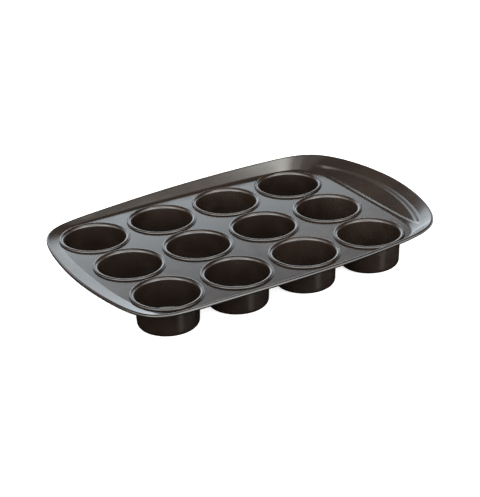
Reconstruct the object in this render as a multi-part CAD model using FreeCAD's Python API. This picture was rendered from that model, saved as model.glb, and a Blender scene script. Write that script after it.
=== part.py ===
"""Muffin tin: twelve drawn cups seamed into one pressed tray with a wired rim.

+Z is up and the tin stands on the cups' bottoms at z = 0. +X runs along the long side, towards the
wide grip, and the tin is the same on both sides of the XZ plane. Millimetres.
"""

import FreeCAD
import Part

import math
import os

# Cup grid
COLUMNS = "abcd"
ROWS = "123"
PITCH_X = 87.7
PITCH_Y = 85.7
GRID_X = -15.8  # the grid's centre stands off the tin's centre, away from the wide grip

# Drawn cup, with a broad seam bead curled over the tray's collar
CUP_SHEET = 0.6
CUP_TAPER = 2.9  # degrees off the vertical
CUP_CORNER = 5.0
BEAD_CIRCLE = 38.9  # radius of the bead's crest about the cup's axis
BEAD_TOP = 38.0
LIP_RADIUS = 3.8  # the soft rounding from the cup's wall up to the crest
BROW_RADIUS = 1.8  # the tighter rounding from the crest to the bead's outer side
SIDE_LEAN = 25.0  # of the outer side at its steepest, in degrees off the vertical
FOOT_RADIUS = 1.0  # the hollow rounding where the side flares out over the deck
FOOT_LEAN = 55.0  # degrees off the vertical at the sheet's edge

# Tray deck
TRAY_SHEET = 0.7
DECK_TOP = 35.8
COLLAR_RADIUS = 37.2
COLLAR_TOP = 36.7
COLLAR_BEND = 0.6
FOLD_RADIUS = 4.0  # where the deck turns up into the flange

# Rolled rim
RIM_RADIUS = 2.1
WIRE_RADIUS = 1.35
CURL_CLEARANCE = 8.0  # degrees between the curl's end and the flange's underside
RIM_RISE = (42.5, 4.4, -0.75, 2.6)  # height of the rim's centre: a cubic in x over half the length
HALF_LENGTH = 211.0

# Poles of the two outlines on the +Y side, from the narrow end to the grip
RIM_POLES = (
    (-213, 0), (-207, 67), (-196, 117), (-172, 137.5), (-120, 140.5), (-44, 146),
    (41, 147.5), (116, 142.5), (166, 135), (190, 109), (206, 60), (213.5, 0),
)
DECK_POLES = (
    (-196, 0), (-194.5, 65), (-183, 109), (-164, 131), (-119, 134.5), (-44, 135.5),
    (39, 134), (114, 128.5), (156, 121), (167, 94), (167.5, 50), (167.5, 0),
)

# Finger pocket pressed into the grip
POCKET_DEPTH = 2.8
POCKET_START = 170.0
POCKET_INSET = 12.5  # from the rim's centre to the top of the pocket's outer wall
POCKET_WALL = 5.0

# How finely the flange is laid out
STATIONS = 132
FOLD_STEPS = 4
SLOPE_STEPS = 16
CURL_STEPS = 16
WIRE_STEPS = 12

DECK_BOTTOM = DECK_TOP - TRAY_SHEET
Z_AXIS = FreeCAD.Vector(0, 0, 1)


def polar(centre, radius, degrees):
    """A point at that radius and angle round centre, in a plane of (outward distance, height)."""
    angle = math.radians(degrees)
    return (centre[0] + radius * math.cos(angle), centre[1] + radius * math.sin(angle))


def smooth_step(value):
    """0 below 0, 1 above 1, with level ends."""
    clipped = min(max(value, 0.0), 1.0)
    return clipped * clipped * (3 - 2 * clipped)


def revolve(edges):
    """The ring or cup swept by a closed profile of the XZ plane turned about Z."""
    face = Part.Face(Part.Wire(edges))
    return face.revolve(FreeCAD.Vector(0, 0, 0), Z_AXIS, 360)


def in_xz(point):
    return FreeCAD.Vector(point[0], 0, point[1])


def line(start, end):
    return Part.LineSegment(in_xz(start), in_xz(end)).toShape()


def arc(centre, radius, start, end):
    """Circular edge from one angle to another, in degrees."""
    points = [in_xz(polar(centre, radius, angle)) for angle in (start, (start + end) / 2, end)]
    return Part.Arc(*points).toShape()


# The cups


def cup():
    """One cup on the Z axis: flat bottom, tapered wall, and the curled seam bead."""
    tilt = math.radians(CUP_TAPER)
    lip = (BEAD_CIRCLE, BEAD_TOP - LIP_RADIUS)
    brow = (BEAD_CIRCLE, BEAD_TOP - BROW_RADIUS)
    foot = polar(brow, BROW_RADIUS + FOOT_RADIUS, SIDE_LEAN)
    lip_start = 180 - CUP_TAPER
    foot_start = 180 + SIDE_LEAN
    foot_end = 180 + FOOT_LEAN
    under_lip = LIP_RADIUS - CUP_SHEET
    under_brow = BROW_RADIUS - CUP_SHEET
    under_foot = FOOT_RADIUS + CUP_SHEET
    wall_top = polar(lip, under_lip, lip_start)
    wall_foot = wall_top[0] - wall_top[1] * math.tan(tilt)
    corner = (wall_foot - CUP_CORNER * (1 - math.sin(tilt)) / math.cos(tilt), CUP_CORNER)
    inner_corner = CUP_CORNER - CUP_SHEET
    edges = [
        line((0, 0), (corner[0], 0)),
        arc(corner, CUP_CORNER, -90, -CUP_TAPER),
        line(polar(corner, CUP_CORNER, -CUP_TAPER), wall_top),
        arc(lip, under_lip, lip_start, 90),
        arc(brow, under_brow, 90, SIDE_LEAN),
        arc(foot, under_foot, foot_start, foot_end),
        line(polar(foot, under_foot, foot_end), polar(foot, FOOT_RADIUS, foot_end)),
        arc(foot, FOOT_RADIUS, foot_end, foot_start),
        arc(brow, BROW_RADIUS, SIDE_LEAN, 90),
        arc(lip, LIP_RADIUS, 90, lip_start),
        line(polar(lip, LIP_RADIUS, lip_start), polar(corner, inner_corner, -CUP_TAPER)),
        arc(corner, inner_corner, -CUP_TAPER, -90),
        line((corner[0], CUP_SHEET), (0, CUP_SHEET)),
        line((0, CUP_SHEET), (0, 0)),
    ]
    return revolve(edges)


def cup_places():
    """Name and centre of every cup."""
    for column, letter in enumerate(COLUMNS):
        for row, number in enumerate(ROWS):
            x = GRID_X + (column - (len(COLUMNS) - 1) / 2) * PITCH_X
            y = (row - (len(ROWS) - 1) / 2) * PITCH_Y
            yield f"cup_{letter}{number}", FreeCAD.Vector(x, y, 0)


# The tray's flange, laid out as sections round the rim


def outline(poles):
    """Smooth closed curve from its +Y half's poles."""
    far = [FreeCAD.Vector(x, y, 0) for x, y in poles]
    near = [FreeCAD.Vector(x, -y, 0) for x, y in poles[-2:0:-1]]
    curve = Part.BSplineCurve()
    curve.buildFromPolesMultsKnots(far + near, periodic=True, degree=3)
    return curve


def rim_height(x):
    share = x / HALF_LENGTH
    return sum(term * share**power for power, term in enumerate(RIM_RISE))


class Section:
    """The flange at one station: from the fold at the deck's edge out to the rolled rim."""

    def __init__(self, deck_point, rim_point, outward):
        self.deck = deck_point
        self.rim = rim_point + Z_AXIS * rim_height(rim_point.x)
        self.outward = outward
        width = outward.dot(rim_point - deck_point)
        rise = self.rim.z - DECK_TOP
        to_rim = math.degrees(math.atan2(rise, width))
        self.slope = to_rim + math.degrees(math.asin(RIM_RADIUS / math.hypot(width, rise)))
        back = FOLD_RADIUS * math.tan(math.radians(self.slope / 2))
        self.fold = self.deck - outward * back + Z_AXIS * (DECK_TOP + FOLD_RADIUS)

    def round(self, centre, radius, degrees):
        """The point at that radius and angle round a centre, in this section's upright plane."""
        outwards, up = polar((0, 0), radius, degrees)
        return centre + self.outward * outwards + Z_AXIS * up

    def pocket(self, point):
        """How deep the finger pocket is at that point of the slope."""
        from_deck = smooth_step((point.x - POCKET_START) / POCKET_WALL)
        to_rim = self.outward.dot(self.rim - point)
        from_rim = smooth_step((to_rim - POCKET_INSET) / POCKET_WALL)
        return POCKET_DEPTH * from_deck * from_rim

    def fold_and_slope(self, depth):
        """Points from the deck's edge to the rim, at that depth under the sheet's top."""
        angles = [-90 + self.slope * step / FOLD_STEPS for step in range(FOLD_STEPS + 1)]
        points = [self.round(self.fold, FOLD_RADIUS + depth, angle) for angle in angles]
        start = points[-1]
        end = self.round(self.rim, RIM_RADIUS - depth, 90 + self.slope)
        for step in range(1, SLOPE_STEPS + 1):
            point = start + (end - start) * (step / SLOPE_STEPS)
            points.append(point - Z_AXIS * self.pocket(point))
        return points

    def curl(self, radius):
        """Points round the rolled edge, over the top and back under."""
        overlap = math.degrees(math.acos((RIM_RADIUS - TRAY_SHEET) / RIM_RADIUS))
        turn = 360 - overlap - CURL_CLEARANCE
        angles = [90 + self.slope - turn * step / CURL_STEPS for step in range(CURL_STEPS + 1)]
        return [self.round(self.rim, radius, angle) for angle in angles]

    def wire(self):
        """Points round the wire, with the first one again at the end."""
        angles = [360 * step / WIRE_STEPS for step in range(WIRE_STEPS + 1)]
        return [self.round(self.rim, WIRE_RADIUS, angle) for angle in angles]


def sections():
    deck = outline(DECK_POLES)
    rim = outline(RIM_POLES)
    first, last = rim.FirstParameter, rim.LastParameter
    around = []
    for station in range(STATIONS):
        parameter = first + (last - first) * station / STATIONS
        rim_point, along = rim.getD1(parameter)
        outward = Z_AXIS.cross(along).normalize()
        around.append(Section(deck.value(parameter), rim_point, outward))
    return around


def closed_loop(points):
    """Smooth closed wire through the points, which are taken as evenly spaced."""
    curve = Part.BSplineCurve()
    evenly = [float(step) for step in range(len(points) + 1)]
    curve.interpolate(Points=points, PeriodicFlag=True, Parameters=evenly)
    return Part.Wire(curve.toShape())


def loops(rows):
    """One closed wire per place in the sections, from one row of points per section."""
    return [closed_loop(list(points)) for points in zip(*rows)]


def skin(wires, ruled=False):
    """Faces of the surface through the wires."""
    return Part.makeLoft(wires, False, ruled).Faces


def deck_face(edge, height):
    """The flat of the deck inside that edge, open where each cup's collar turns up."""
    bend_circle = COLLAR_RADIUS + TRAY_SHEET + COLLAR_BEND
    wires = [edge]
    for _, place in cup_places():
        centre = place + Z_AXIS * height
        wires.append(Part.Wire(Part.Circle(centre, Z_AXIS, bend_circle).toShape()))
    return Part.makeFace(wires, "Part::FaceMakerBullseye")


def collar():
    """Skin of the turned-up edge of one hole, on the Z axis."""
    inner = COLLAR_RADIUS
    outer = COLLAR_RADIUS + TRAY_SHEET
    bend = (outer + COLLAR_BEND, DECK_TOP + COLLAR_BEND)
    edges = [
        arc(bend, COLLAR_BEND, -90, -180),
        line((outer, bend[1]), (outer, COLLAR_TOP)),
        line((outer, COLLAR_TOP), (inner, COLLAR_TOP)),
        line((inner, COLLAR_TOP), (inner, bend[1])),
        arc(bend, COLLAR_BEND + TRAY_SHEET, -180, -90),
    ]
    return Part.Wire(edges).revolve(FreeCAD.Vector(0, 0, 0), Z_AXIS, 360)


def closed_solid(faces):
    """Solid bounded by faces that meet edge to edge."""
    shell = Part.makeShell(faces)
    shell.sewShape()
    return Part.makeSolid(Part.Shell(shell.Faces))


def tray():
    """The pressed tray: deck with a collared hole for each cup, flange and rolled rim."""
    around = sections()
    top = loops([s.fold_and_slope(0) for s in around])
    underside = loops([s.fold_and_slope(TRAY_SHEET) for s in around])
    outer = loops([s.curl(RIM_RADIUS) for s in around])
    inner = loops([s.curl(RIM_RADIUS - TRAY_SHEET) for s in around])
    faces = [deck_face(top[0], DECK_TOP), deck_face(underside[0], DECK_BOTTOM)]
    faces += skin(top) + skin(underside) + skin(outer) + skin(inner)
    faces += skin([outer[-1], inner[-1]], ruled=True)
    ring = collar()
    for _, place in cup_places():
        faces += ring.translated(place).Faces
    return closed_solid(faces)


def rim_wire():
    """The steel wire inside the rolled rim."""
    return closed_solid(skin(loops([s.wire() for s in sections()])))


def main():
    os.makedirs("parts", exist_ok=True)
    nodes = {"tray": tray(), "rim_wire": rim_wire()}
    one_cup = cup()
    for name, place in cup_places():
        nodes[name] = one_cup.translated(place)
    for name, shape in nodes.items():
        shape.exportStep(f"parts/{name}.step")


main()
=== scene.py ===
"""Looks of the muffin tin: a pressed tray with a rolled rim, and drawn cups seamed into it."""

import math

import bmesh
import bpy
from mathutils import Matrix, Vector
from mathutils.geometry import delaunay_2d_cdt


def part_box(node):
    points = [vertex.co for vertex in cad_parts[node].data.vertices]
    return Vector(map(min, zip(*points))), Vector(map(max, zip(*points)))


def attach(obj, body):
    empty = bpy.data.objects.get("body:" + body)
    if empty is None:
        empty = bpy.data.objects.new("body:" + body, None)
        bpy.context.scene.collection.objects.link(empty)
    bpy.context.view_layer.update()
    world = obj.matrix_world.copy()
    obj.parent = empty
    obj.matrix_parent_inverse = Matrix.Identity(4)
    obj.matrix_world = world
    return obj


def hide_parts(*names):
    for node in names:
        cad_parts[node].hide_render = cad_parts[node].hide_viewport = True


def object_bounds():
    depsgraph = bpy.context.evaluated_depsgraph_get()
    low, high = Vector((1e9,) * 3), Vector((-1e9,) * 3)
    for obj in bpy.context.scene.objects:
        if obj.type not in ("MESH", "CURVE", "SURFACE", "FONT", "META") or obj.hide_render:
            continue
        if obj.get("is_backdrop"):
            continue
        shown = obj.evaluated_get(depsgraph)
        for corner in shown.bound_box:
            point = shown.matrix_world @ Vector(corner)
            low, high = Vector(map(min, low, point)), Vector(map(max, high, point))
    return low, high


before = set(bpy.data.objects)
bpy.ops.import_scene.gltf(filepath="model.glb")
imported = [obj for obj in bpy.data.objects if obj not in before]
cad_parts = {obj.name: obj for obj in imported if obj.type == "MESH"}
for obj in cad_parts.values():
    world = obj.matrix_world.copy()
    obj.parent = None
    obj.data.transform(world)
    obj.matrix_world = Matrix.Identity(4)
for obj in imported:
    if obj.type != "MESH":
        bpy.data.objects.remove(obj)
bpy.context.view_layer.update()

MM = 0.001
UP = Vector((0, 0, 1))

# Drawn cup and its seam bead
CUP_SHEET = 0.6 * MM
CUP_TAPER = 2.9
CUP_CORNER = 5.0 * MM
BEAD_CIRCLE = 38.9 * MM
BEAD_TOP = 38.0 * MM
LIP_RADIUS = 3.8 * MM
BROW_RADIUS = 1.8 * MM
SIDE_LEAN = 25.0
FOOT_RADIUS = 1.0 * MM
FOOT_LEAN = 55.0

# Tray
TRAY_SHEET = 0.7 * MM
DECK_TOP = 35.8 * MM
COLLAR_RADIUS = 37.2 * MM
COLLAR_TOP = 36.7 * MM
COLLAR_BEND = 0.6 * MM
FOLD_RADIUS = 4.0 * MM
RIM_RADIUS = 2.1 * MM
CURL_CLEARANCE = 8.0
RIM_RISE = (42.5, 4.4, -0.75, 2.6)  # millimetres: a cubic in x over half the length
HALF_LENGTH = 211.0 * MM
# Millimetres: the +Y half's poles of two closed cubic curves, in step with each other
RIM_POLES = (
    (-213, 0), (-207, 67), (-196, 117), (-172, 137.5), (-120, 140.5), (-44, 146),
    (41, 147.5), (116, 142.5), (166, 135), (190, 109), (206, 60), (213.5, 0),
)
DECK_POLES = (
    (-196, 0), (-194.5, 65), (-183, 109), (-164, 131), (-119, 134.5), (-44, 135.5),
    (39, 134), (114, 128.5), (156, 121), (167, 94), (167.5, 50), (167.5, 0),
)
POCKET_DEPTH = 2.8 * MM
POCKET_START = 170.0 * MM
POCKET_INSET = 12.5 * MM
POCKET_WALL = 5.0 * MM

# Mesh density
STATIONS_PER_POLE = 16
FOLD_STEPS = 6
SLOPE_STEPS = 28
CURL_STEPS = 28
CUP_SEGMENTS = 128
LIP_STEPS = 20
UNDER_LIP_STEPS = 14
BROW_STEPS = 14
UNDER_BROW_STEPS = 10
FOOT_STEPS = 6
WALL_STEPS = 10
CORNER_STEPS = 10
BOTTOM_SHARES = (0.04, 0.35, 0.7, 0.97)
COLLAR_STEPS = 6
DECK_MARGIN = 0.8 * MM
DECK_GRID = 9.0 * MM
GRID_CLEARANCE = DECK_GRID * 0.7
HOLE_EDGE = DECK_MARGIN * 0.99
CUT_TOLERANCE = 1e-7
WELD_DISTANCE = 1e-6
SHARP_ANGLE = 50

# Coating
COATING_IOR = 1.75
TRAY_TONES = ((0.012, 0.010, 0.009), (0.017, 0.014, 0.012))
TRAY_ROUGHNESS = (0.15, 0.19)
# The cups have the tray's coating. Their tones are set darker and browner than the tray's,
# which paints shade into the cups' hollows and walls.
CUP_TONES_AND_PAINTED_SHADE = ((0.009, 0.0055, 0.0038), (0.013, 0.0085, 0.006))
CUP_ROUGHNESS = (0.22, 0.27)
NOISE_SPAN = (0.3, 0.7)
MOTTLE_SCALE = 35
GLOSS_SCALE = 60
HAZE_COLOUR = (0.032, 0.020, 0.014, 1)
HAZE_SCALE = 11
HAZE_DETAIL = 7.0
HAZE_SPAN = (0.50, 0.72)
HAZE_STRENGTH = 0.45
HAZE_ROUGHNESS = 0.03
GRAIN_SCALE = 2600
GRAIN_DETAIL = 2.0
GRAIN_STRENGTH = 0.012
GRAIN_DEPTH = 0.1 * MM

# Bare steel of the rim wire
STEEL_TONES = ((0.42, 0.42, 0.43), (0.55, 0.55, 0.56))
STEEL_ROUGHNESS = (0.3, 0.45)
STEEL_TONE_SCALE = 90
STEEL_GLOSS_SCALE = 300

# Studio. Each part's brightness follows how far a ray points along a direction.
BLACK = (0.0, 0.0, 0.0)
BAND_TILT = (0.26, -0.15, 1.0)
BAND_STOPS = (
    (-0.05, BLACK),
    (0.00, (2.2, 2.5, 2.7)),
    (0.396, (2.2, 2.5, 2.7)),
    (0.428, (0.06, 0.05, 0.045)),
    (0.60, BLACK),
)
BAND_SIDE = (-0.865, 0.502, 0.0)
SIDE_STOPS = ((0.52, (1.0, 1.0, 1.0)), (0.70, (0.12, 0.11, 0.10)))
ROOM_STOPS = (
    (-0.05, (0.004, 0.0035, 0.003)),
    (0.0, (0.15, 0.095, 0.07)),
    (1.0, (0.12, 0.073, 0.052)),
)
WINDOWS = (
    ((-0.47, -0.81, 0.35), ((0.52, BLACK), (0.66, (2.0, 1.95, 1.85)))),
    ((0.40, -0.85, 0.34), ((0.80, BLACK), (0.90, (2.2, 2.2, 2.1)))),
    ((-0.94, 0.0, 0.34), ((0.80, BLACK), (0.90, (1.7, 1.65, 1.55)))),
    ((-0.19, -0.32, 0.93), ((0.955, BLACK), (0.980, (1.5, 1.45, 1.4)))),
)
HORIZON_STOPS = ((-0.01, BLACK), (0.03, (1.0, 1.0, 1.0)))
GRIP_LAMP = (0.25, -0.30, 0.92)
LAMP_STOPS = ((0.978, BLACK), (0.989, (1.0, 1.0, 0.92)), (1.0, (6.0, 6.0, 5.7)))
GLINT = (0.28, -0.86, -0.43)
GLINT_STOPS = ((0.980, BLACK), (0.997, (0.62, 0.62, 0.60)))
OVERHEAD_PLACE = Vector((0.1, 0.1, 1.6))
OVERHEAD_SIZE = 1.2
OVERHEAD_POWER = 1.5

# Floor
FLOOR_REACH = 3.0
FLOOR_GAP = 0.2 * MM
FLOOR_COLOUR = (0.9, 0.9, 0.9, 1)
FLOOR_ROUGHNESS = 0.9
FLOOR_GLOW = 0.75

# Camera
CAMERA_AZIMUTH = -30.13
CAMERA_ELEVATION = 25.36
CAMERA_ROLL = -2.22
CAMERA_DISTANCE = 1.9543
CAMERA_TARGET = Vector((-27.94, -39.58, 38.6)) * MM
CAMERA_LENS = 126.13

CUP_NODES = sorted(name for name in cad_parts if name.startswith("cup_"))


def cup_axis(node):
    """The point of z = 0 on a cup's upright axis."""
    low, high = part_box(node)
    return Vector(((low.x + high.x) / 2, (low.y + high.y) / 2, 0))


# Geometry helpers


def polar(centre, radius, degrees):
    """The point of a circle at an angle."""
    angle = math.radians(degrees)
    return (centre[0] + radius * math.cos(angle), centre[1] + radius * math.sin(angle))


def arc(centre, radius, start, end, steps):
    """Points of a circle from one angle to another."""
    return [polar(centre, radius, start + (end - start) * i / steps) for i in range(steps + 1)]


def smooth_step(value):
    """Eases from 0 to 1 while the value goes from 0 to 1."""
    clipped = min(max(value, 0.0), 1.0)
    return clipped * clipped * (3 - 2 * clipped)


class Builder:
    """Collects vertices and faces of one mesh, and joins grids edge to edge."""

    def __init__(self):
        self.points = []
        self.faces = []

    def ring(self, points):
        """Adds points and gives their numbers."""
        start = len(self.points)
        self.points.extend(points)
        return list(range(start, start + len(points)))

    def band(self, first, second):
        """Quads between two closed rings of the same number of points."""
        count = len(first)
        for i in range(count):
            j = (i + 1) % count
            self.faces.append((first[i], first[j], second[j], second[i]))

    def rings(self, rows):
        """Bands through several rings. Gives the first and last one."""
        made = [self.ring(row) for row in rows]
        for first, second in zip(made, made[1:]):
            self.band(first, second)
        return made[0], made[-1]

    def object(self, name):
        """The finished mesh as an object of the scene."""
        mesh = bpy.data.meshes.new(name)
        mesh.from_pydata(self.points, [], self.faces)
        work = bmesh.new()
        work.from_mesh(mesh)
        bmesh.ops.remove_doubles(work, verts=work.verts, dist=WELD_DISTANCE)
        bmesh.ops.recalc_face_normals(work, faces=work.faces)
        work.to_mesh(mesh)
        work.free()
        mesh.shade_smooth()
        mesh.set_sharp_from_angle(angle=math.radians(SHARP_ANGLE))
        made = bpy.data.objects.new(name, mesh)
        bpy.context.scene.collection.objects.link(made)
        return made


# The cups


def wall(start, end):
    """Points between the two ends of the cup's straight wall."""
    run = end[0] - start[0]
    rise = end[1] - start[1]
    return [
        (start[0] + run * i / WALL_STEPS, start[1] + rise * i / WALL_STEPS)
        for i in range(1, WALL_STEPS)
    ]


def cup_profile():
    """Closed outline of the cup's sheet, as (radius, height), from the middle of the bottom."""
    tilt = math.radians(CUP_TAPER)
    lip = (BEAD_CIRCLE, BEAD_TOP - LIP_RADIUS)
    brow = (BEAD_CIRCLE, BEAD_TOP - BROW_RADIUS)
    foot = polar(brow, BROW_RADIUS + FOOT_RADIUS, SIDE_LEAN)
    lip_start = 180 - CUP_TAPER
    foot_start = 180 + SIDE_LEAN
    foot_end = 180 + FOOT_LEAN
    under_lip = arc(lip, LIP_RADIUS - CUP_SHEET, lip_start, 90, UNDER_LIP_STEPS)
    under_brow = arc(brow, BROW_RADIUS - CUP_SHEET, 90, SIDE_LEAN, UNDER_BROW_STEPS)[1:]
    under_foot = arc(foot, FOOT_RADIUS + CUP_SHEET, foot_start, foot_end, FOOT_STEPS)[1:]
    top_foot = arc(foot, FOOT_RADIUS, foot_end, foot_start, FOOT_STEPS)
    top_brow = arc(brow, BROW_RADIUS, SIDE_LEAN, 90, BROW_STEPS)[1:]
    top_lip = arc(lip, LIP_RADIUS, 90, lip_start, LIP_STEPS)[1:]
    wall_foot = under_lip[0][0] - under_lip[0][1] * math.tan(tilt)
    corner = (wall_foot - CUP_CORNER * (1 - math.sin(tilt)) / math.cos(tilt), CUP_CORNER)
    outer_corner = arc(corner, CUP_CORNER, -90, -CUP_TAPER, CORNER_STEPS)
    inner_corner = arc(corner, CUP_CORNER - CUP_SHEET, -CUP_TAPER, -90, CORNER_STEPS)
    flat_radii = [corner[0] * share for share in BOTTOM_SHARES]
    outline = [(radius, 0) for radius in flat_radii]
    outline += outer_corner + wall(outer_corner[-1], under_lip[0])
    outline += under_lip + under_brow + under_foot + top_foot + top_brow + top_lip
    outline += wall(top_lip[-1], inner_corner[0]) + inner_corner
    outline += [(radius, CUP_SHEET) for radius in reversed(flat_radii)]
    return outline


def turned(profile, centre):
    """One ring of points round an upright axis for each point of a profile."""
    angles = [2 * math.pi * i / CUP_SEGMENTS for i in range(CUP_SEGMENTS)]
    return [
        [centre + Vector((r * math.cos(a), r * math.sin(a), z)) for a in angles]
        for r, z in profile
    ]


def cup(node):
    """The cup that stands for one CAD node, closed by a face at each side of its bottom."""
    builder = Builder()
    first, last = builder.rings(turned(cup_profile(), cup_axis(node)))
    builder.faces.append(tuple(first))
    builder.faces.append(tuple(reversed(last)))
    return builder.object(node + "_drawn")


# The tray


def outline_point(poles, place):
    """A point and direction on the closed smooth curve through its +Y half's poles."""
    loop = list(poles) + [(x, -y) for x, y in poles[-2:0:-1]]
    span = int(place)
    f = place - span
    four = [Vector((*loop[(span + i) % len(loop)], 0)) * MM for i in range(4)]
    weights = ((1 - f) ** 3, 3 * f**3 - 6 * f**2 + 4, -3 * f**3 + 3 * f**2 + 3 * f + 1, f**3)
    slopes = (-((1 - f) ** 2), 3 * f**2 - 4 * f, -3 * f**2 + 2 * f + 1, f**2)
    point = sum((p * w for p, w in zip(four, weights)), Vector()) / 6
    direction = sum((p * s for p, s in zip(four, slopes)), Vector())
    return point, direction


def rim_height(x):
    """Height of the rim wire's middle, which rises along the tin."""
    share = x / HALF_LENGTH
    return sum(term * share**power for power, term in enumerate(RIM_RISE)) * MM


class Section:
    """The flange at one station: from the fold at the deck's edge out to the rolled rim."""

    def __init__(self, place):
        deck = outline_point(DECK_POLES, place)[0]
        rim, along = outline_point(RIM_POLES, place)
        self.outward = UP.cross(along).normalized()
        self.rim = rim + UP * rim_height(rim.x)
        width = self.outward.dot(rim - deck)
        rise = self.rim.z - DECK_TOP
        to_rim = math.degrees(math.atan2(rise, width))
        self.slope = to_rim + math.degrees(math.asin(RIM_RADIUS / math.hypot(width, rise)))
        back = FOLD_RADIUS * math.tan(math.radians(self.slope / 2))
        self.fold = deck - self.outward * back + UP * (DECK_TOP + FOLD_RADIUS)

    def round(self, centre, radius, degrees):
        """A point of the section on a circle, with 0 degrees outwards and 90 up."""
        outwards, up = polar((0, 0), radius, degrees)
        return centre + self.outward * outwards + UP * up

    def pocket(self, point):
        """How far the finger pocket is pressed down at a point of the grip."""
        from_deck = smooth_step((point.x - POCKET_START) / POCKET_WALL)
        to_rim = self.outward.dot(self.rim - point)
        from_rim = smooth_step((to_rim - POCKET_INSET) / POCKET_WALL)
        return POCKET_DEPTH * from_deck * from_rim

    def fold_and_slope(self, depth):
        """Points from the deck's edge up to the rim, at a depth below the sheet's top."""
        angles = [-90 + self.slope * step / FOLD_STEPS for step in range(FOLD_STEPS + 1)]
        points = [self.round(self.fold, FOLD_RADIUS + depth, angle) for angle in angles]
        start = points[-1]
        end = self.round(self.rim, RIM_RADIUS - depth, 90 + self.slope)
        for step in range(1, SLOPE_STEPS + 1):
            point = start + (end - start) * (step / SLOPE_STEPS)
            points.append(point - UP * self.pocket(point))
        return points

    def curl(self, radius):
        """Points round the rim wire, from the top of the slope to the sheet's edge."""
        overlap = math.degrees(math.acos((RIM_RADIUS - TRAY_SHEET) / RIM_RADIUS))
        turn = 360 - overlap - CURL_CLEARANCE
        angles = [90 + self.slope - turn * step / CURL_STEPS for step in range(CURL_STEPS + 1)]
        return [self.round(self.rim, radius, angle) for angle in angles]


def deck_grid(edge, axes, hole_radius):
    """Evenly spaced points of the deck's plane, clear of its edge and of every hole."""
    points = []
    x = min(p.x for p in edge)
    right = max(p.x for p in edge)
    top = max(p.y for p in edge)
    while x < right:
        y = -top
        while y < top:
            here = Vector((x, y))
            clear = all((here - a).length > hole_radius + GRID_CLEARANCE for a in axes)
            away = min((here - p.to_2d()).length for p in edge) > GRID_CLEARANCE
            if clear and away and inside(here, edge):
                points.append(here)
            y += DECK_GRID
        x += DECK_GRID
    return points


def flat_deck(builder, edge, height, hole_radius):
    """The level deck: a margin inside its edge and round each hole, and the flat between."""
    centre = sum(edge, Vector()) / len(edge)
    inner_edge = [
        p + (Vector((centre.x, centre.y, p.z)) - p).normalized() * DECK_MARGIN for p in edge
    ]
    builder.rings([edge, inner_edge])
    outlines = [inner_edge]
    for node in CUP_NODES:
        profile = [(hole_radius + DECK_MARGIN, height), (hole_radius, height)]
        wide, hole = turned(profile, cup_axis(node))
        builder.rings([wide, hole])
        outlines.append(wide)
    points = []
    edges = []
    for outline in outlines:
        loop = list(range(len(points), len(points) + len(outline)))
        edges += zip(loop, loop[1:] + loop[:1])
        points += [p.to_2d() for p in outline]
    axes = [cup_axis(node).to_2d() for node in CUP_NODES]
    points += deck_grid(inner_edge, axes, hole_radius)
    result = delaunay_2d_cdt(points, edges, [], 0, CUT_TOLERANCE)
    places, faces = result[0], result[2]
    made = builder.ring([Vector((p.x, p.y, height)) for p in places])
    for face in faces:
        middle = sum((places[i] for i in face), Vector((0, 0))) / len(face)
        in_hole = any((middle - a).length < hole_radius + HOLE_EDGE for a in axes)
        if not in_hole and inside(middle, inner_edge):
            builder.faces.append(tuple(made[i] for i in face))


def inside(point, loop):
    """True if a point of the plane lies within a closed outline."""
    crossings = 0
    for a, b in zip(loop, loop[1:] + loop[:1]):
        if (a.y > point.y) != (b.y > point.y):
            at = a.x + (point.y - a.y) * (b.x - a.x) / (b.y - a.y)
            crossings += at > point.x
    return crossings % 2 == 1


def collar_profile():
    """The turned-up edge of a hole, from the deck's top over the lip to its underside."""
    inner = COLLAR_RADIUS
    outer = COLLAR_RADIUS + TRAY_SHEET
    bend = (outer + COLLAR_BEND, DECK_TOP + COLLAR_BEND)
    profile = arc(bend, COLLAR_BEND, -90, -180, COLLAR_STEPS)
    profile += [(outer, COLLAR_TOP), (inner, COLLAR_TOP)]
    profile += arc(bend, COLLAR_BEND + TRAY_SHEET, -180, -90, COLLAR_STEPS)
    return profile


def tray():
    """The pressed sheet: deck, collars, flange with the finger pocket, and rolled rim."""
    stations = STATIONS_PER_POLE * (2 * len(RIM_POLES) - 2)
    around = [Section(i / STATIONS_PER_POLE) for i in range(stations)]
    builder = Builder()
    top = list(zip(*[s.fold_and_slope(0) for s in around]))
    outer = list(zip(*[s.curl(RIM_RADIUS) for s in around]))
    inner = list(zip(*[s.curl(RIM_RADIUS - TRAY_SHEET) for s in around]))
    underside = list(zip(*[s.fold_and_slope(TRAY_SHEET) for s in around]))
    builder.rings(top + outer[1:])
    builder.rings([outer[-1], inner[-1]])
    builder.rings(underside + inner[1:])
    hole_radius = COLLAR_RADIUS + TRAY_SHEET + COLLAR_BEND
    flat_deck(builder, list(top[0]), DECK_TOP, hole_radius)
    flat_deck(builder, list(underside[0]), DECK_TOP - TRAY_SHEET, hole_radius)
    for node in CUP_NODES:
        builder.rings(turned(collar_profile(), cup_axis(node)))
    return builder.object("pressed_tray")


# Materials. A mix node keeps sockets for every kind of value: these are its colour ones.

MIX_COLOUR_INPUTS = (0, 6, 7)
MIX_COLOUR_OUTPUT = 2


def material_named(name):
    """A new material and its shader."""
    material = bpy.data.materials.new(name)
    material.use_nodes = True
    return material, material.node_tree.nodes["Principled BSDF"]


def noise(tree, scale, detail=4.0):
    """Noise over the object's own coordinates."""
    coordinates = tree.nodes.new("ShaderNodeTexCoord")
    texture = tree.nodes.new("ShaderNodeTexNoise")
    texture.inputs["Scale"].default_value = scale
    texture.inputs["Detail"].default_value = detail
    tree.links.new(coordinates.outputs["Object"], texture.inputs["Vector"])
    return texture.outputs["Fac"]


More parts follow.
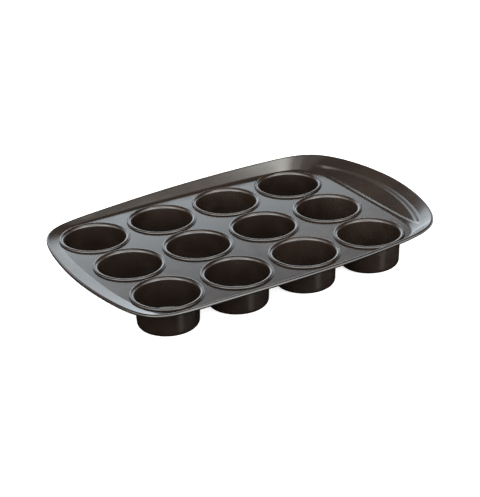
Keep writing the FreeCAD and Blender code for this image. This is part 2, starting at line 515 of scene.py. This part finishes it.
def ramp(tree, source, low, high):
    """A colour between two, as the noise goes across its usual range."""
    made = tree.nodes.new("ShaderNodeValToRGB")
    for element, place, colour in zip(made.color_ramp.elements, NOISE_SPAN, (low, high)):
        element.position = place
        element.color = (*colour, 1)
    tree.links.new(source, made.inputs["Fac"])
    return made.outputs["Color"]


def spread(tree, source, low, high, span=NOISE_SPAN):
    """A number between two, as the noise goes across a span."""
    made = tree.nodes.new("ShaderNodeMapRange")
    made.inputs["From Min"].default_value = span[0]
    made.inputs["From Max"].default_value = span[1]
    made.inputs["To Min"].default_value = low
    made.inputs["To Max"].default_value = high
    tree.links.new(source, made.inputs["Value"])
    return made.outputs["Result"]


def feed(tree, sockets, values):
    """Gives each socket its value: another node's output, or a constant."""
    for socket, value in zip(sockets, values):
        if isinstance(value, bpy.types.NodeSocket):
            tree.links.new(value, socket)
        else:
            socket.default_value = value


def blend(tree, kind, factor, first, second):
    """Two colours put together by a kind of mix."""
    made = tree.nodes.new("ShaderNodeMix")
    made.data_type = "RGBA"
    made.blend_type = kind
    feed(tree, [made.inputs[i] for i in MIX_COLOUR_INPUTS], (factor, first, second))
    return made.outputs[MIX_COLOUR_OUTPUT]


def combine(tree, kind, *values):
    """Numbers put together by a kind of arithmetic."""
    made = tree.nodes.new("ShaderNodeMath")
    made.operation = kind
    feed(tree, made.inputs, values)
    return made.outputs["Value"]


def coating(name, tones, roughness):
    """Satin nonstick coating: mottled tone, baked-on haze, uneven gloss and a fine texture. The
    cups get it with darker, browner tones, which are painted shade.
    """
    material, shader = material_named(name)
    tree = material.node_tree
    haze = spread(tree, noise(tree, HAZE_SCALE, HAZE_DETAIL), 0.0, 1.0, HAZE_SPAN)
    mottle = ramp(tree, noise(tree, MOTTLE_SCALE), *tones)
    cover = combine(tree, "MULTIPLY", haze, HAZE_STRENGTH)
    tree.links.new(blend(tree, "MIX", cover, mottle, HAZE_COLOUR), shader.inputs["Base Color"])
    gloss = spread(tree, noise(tree, GLOSS_SCALE), *roughness)
    dulled = combine(tree, "MULTIPLY_ADD", haze, HAZE_ROUGHNESS, gloss)
    tree.links.new(dulled, shader.inputs["Roughness"])
    shader.inputs["IOR"].default_value = COATING_IOR
    bump = tree.nodes.new("ShaderNodeBump")
    bump.inputs["Strength"].default_value = GRAIN_STRENGTH
    bump.inputs["Distance"].default_value = GRAIN_DEPTH
    tree.links.new(noise(tree, GRAIN_SCALE, GRAIN_DETAIL), bump.inputs["Height"])
    tree.links.new(bump.outputs["Normal"], shader.inputs["Normal"])
    return material


def steel(name):
    """Drawn wire, uneven in tone and gloss."""
    material, shader = material_named(name)
    tree = material.node_tree
    tone_noise = noise(tree, STEEL_TONE_SCALE)
    tree.links.new(ramp(tree, tone_noise, *STEEL_TONES), shader.inputs["Base Color"])
    gloss = spread(tree, noise(tree, STEEL_GLOSS_SCALE), *STEEL_ROUGHNESS)
    tree.links.new(gloss, shader.inputs["Roughness"])
    shader.inputs["Metallic"].default_value = 1.0
    return material


# Studio


def aimed(tree, direction, source):
    """How far the ray points along a direction: the dot product of the two."""
    made = tree.nodes.new("ShaderNodeVectorMath")
    made.operation = "DOT_PRODUCT"
    made.inputs[1].default_value = direction
    tree.links.new(source, made.inputs[0])
    return made.outputs["Value"]


def tone(tree, source, stops):
    """Colours along a value from -1 to 1."""
    rescale = tree.nodes.new("ShaderNodeMapRange")
    rescale.inputs["From Min"].default_value = -1
    tree.links.new(source, rescale.inputs["Value"])
    made = tree.nodes.new("ShaderNodeValToRGB")
    elements = made.color_ramp.elements
    while len(elements) < len(stops):
        elements.new(1.0)
    for element, (value, colour) in zip(elements, stops):
        element.position = (value + 1) / 2
        element.color = (*colour, 1)
    tree.links.new(rescale.outputs["Result"], made.inputs["Fac"])
    return made.outputs["Color"]


def studio():
    """A dim brown room with windows, a bright low band, a lamp over the grip and a glint."""
    world = bpy.data.worlds.new("studio")
    bpy.context.scene.world = world
    world.use_nodes = True
    tree = world.node_tree
    ray = tree.nodes.new("ShaderNodeTexCoord").outputs["Generated"]
    above = tone(tree, aimed(tree, UP, ray), HORIZON_STOPS)
    band = tone(tree, aimed(tree, BAND_TILT, ray), BAND_STOPS)
    side = tone(tree, aimed(tree, BAND_SIDE, ray), SIDE_STOPS)
    room = tone(tree, aimed(tree, UP, ray), ROOM_STOPS)
    windows = [tone(tree, aimed(tree, direction, ray), stops) for direction, stops in WINDOWS]
    for part in (
        *[blend(tree, "MULTIPLY", 1.0, window, above) for window in windows],
        blend(tree, "MULTIPLY", 1.0, band, side),
        tone(tree, aimed(tree, GRIP_LAMP, ray), LAMP_STOPS),
        tone(tree, aimed(tree, GLINT, ray), GLINT_STOPS),
    ):
        room = blend(tree, "ADD", 1.0, room, part)
    to_camera = tree.nodes.new("ShaderNodeLightPath").outputs["Is Camera Ray"]
    seen = blend(tree, "MIX", to_camera, room, (1, 1, 1, 1))
    tree.links.new(seen, tree.nodes["Background"].inputs["Color"])


def floor():
    """A pale floor just under the cups, which no other surface picks up."""
    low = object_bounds()[0]
    mesh = bpy.data.meshes.new("floor")
    reach = FLOOR_REACH
    corners = [(-reach, -reach, 0), (reach, -reach, 0), (reach, reach, 0), (-reach, reach, 0)]
    mesh.from_pydata(corners, [], [(0, 1, 2, 3)])
    made = bpy.data.objects.new("floor", mesh)
    bpy.context.scene.collection.objects.link(made)
    made.location.z = low.z - FLOOR_GAP
    material, shader = material_named("pale_floor")
    shader.inputs["Base Color"].default_value = FLOOR_COLOUR
    shader.inputs["Roughness"].default_value = FLOOR_ROUGHNESS
    shader.inputs["Emission Color"].default_value = (1, 1, 1, 1)
    shader.inputs["Emission Strength"].default_value = FLOOR_GLOW
    mesh.materials.append(material)
    made.visible_glossy = False
    made.visible_diffuse = False
    made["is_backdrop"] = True


def overhead_light():
    """A soft square lamp above the tin, aimed at its middle."""
    data = bpy.data.lights.new("overhead", "AREA")
    data.shape = "SQUARE"
    data.size = OVERHEAD_SIZE
    data.energy = OVERHEAD_POWER
    made = bpy.data.objects.new("overhead", data)
    made.location = OVERHEAD_PLACE
    made.rotation_euler = (-OVERHEAD_PLACE).to_track_quat("-Z", "Y").to_euler()
    bpy.context.scene.collection.objects.link(made)


def camera():
    """Looks down the tin from above its narrow end's near corner."""
    azimuth = math.radians(CAMERA_AZIMUTH)
    elevation = math.radians(CAMERA_ELEVATION)
    roll = math.radians(CAMERA_ROLL)
    back = Vector((
        math.sin(azimuth) * math.cos(elevation),
        -math.cos(azimuth) * math.cos(elevation),
        math.sin(elevation),
    ))
    right = (-back).cross(UP).normalized()
    up = right.cross(-back)
    across = right * math.cos(roll) + up * math.sin(roll)
    upward = up * math.cos(roll) - right * math.sin(roll)
    data = bpy.data.cameras.new("camera")
    data.lens = CAMERA_LENS
    made = bpy.data.objects.new("camera", data)
    place = CAMERA_TARGET + back * CAMERA_DISTANCE
    turn = Matrix((across, upward, back)).transposed().to_4x4()
    made.matrix_world = Matrix.Translation(place) @ turn
    bpy.context.scene.collection.objects.link(made)
    bpy.context.scene.camera = made


camera()

tray_coating = coating("tray_coating", TRAY_TONES, TRAY_ROUGHNESS)
# The cups' coating is the tray's coating with darker tones: painted shade on every cup.
cup_coating = coating("cup_coating", CUP_TONES_AND_PAINTED_SHADE, CUP_ROUGHNESS)
wire_steel = steel("wire_steel")

pressed_tray = tray()
pressed_tray.data.materials.append(tray_coating)
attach(pressed_tray, "root")
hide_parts("tray")

for cup_node in CUP_NODES:
    drawn = cup(cup_node)
    drawn.data.materials.append(cup_coating)
    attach(drawn, "root")
    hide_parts(cup_node)

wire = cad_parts["rim_wire"]
wire.data.materials.clear()
wire.data.materials.append(wire_steel)

floor()
studio()
overhead_light()

bpy.context.scene.view_settings.view_transform = "Standard"
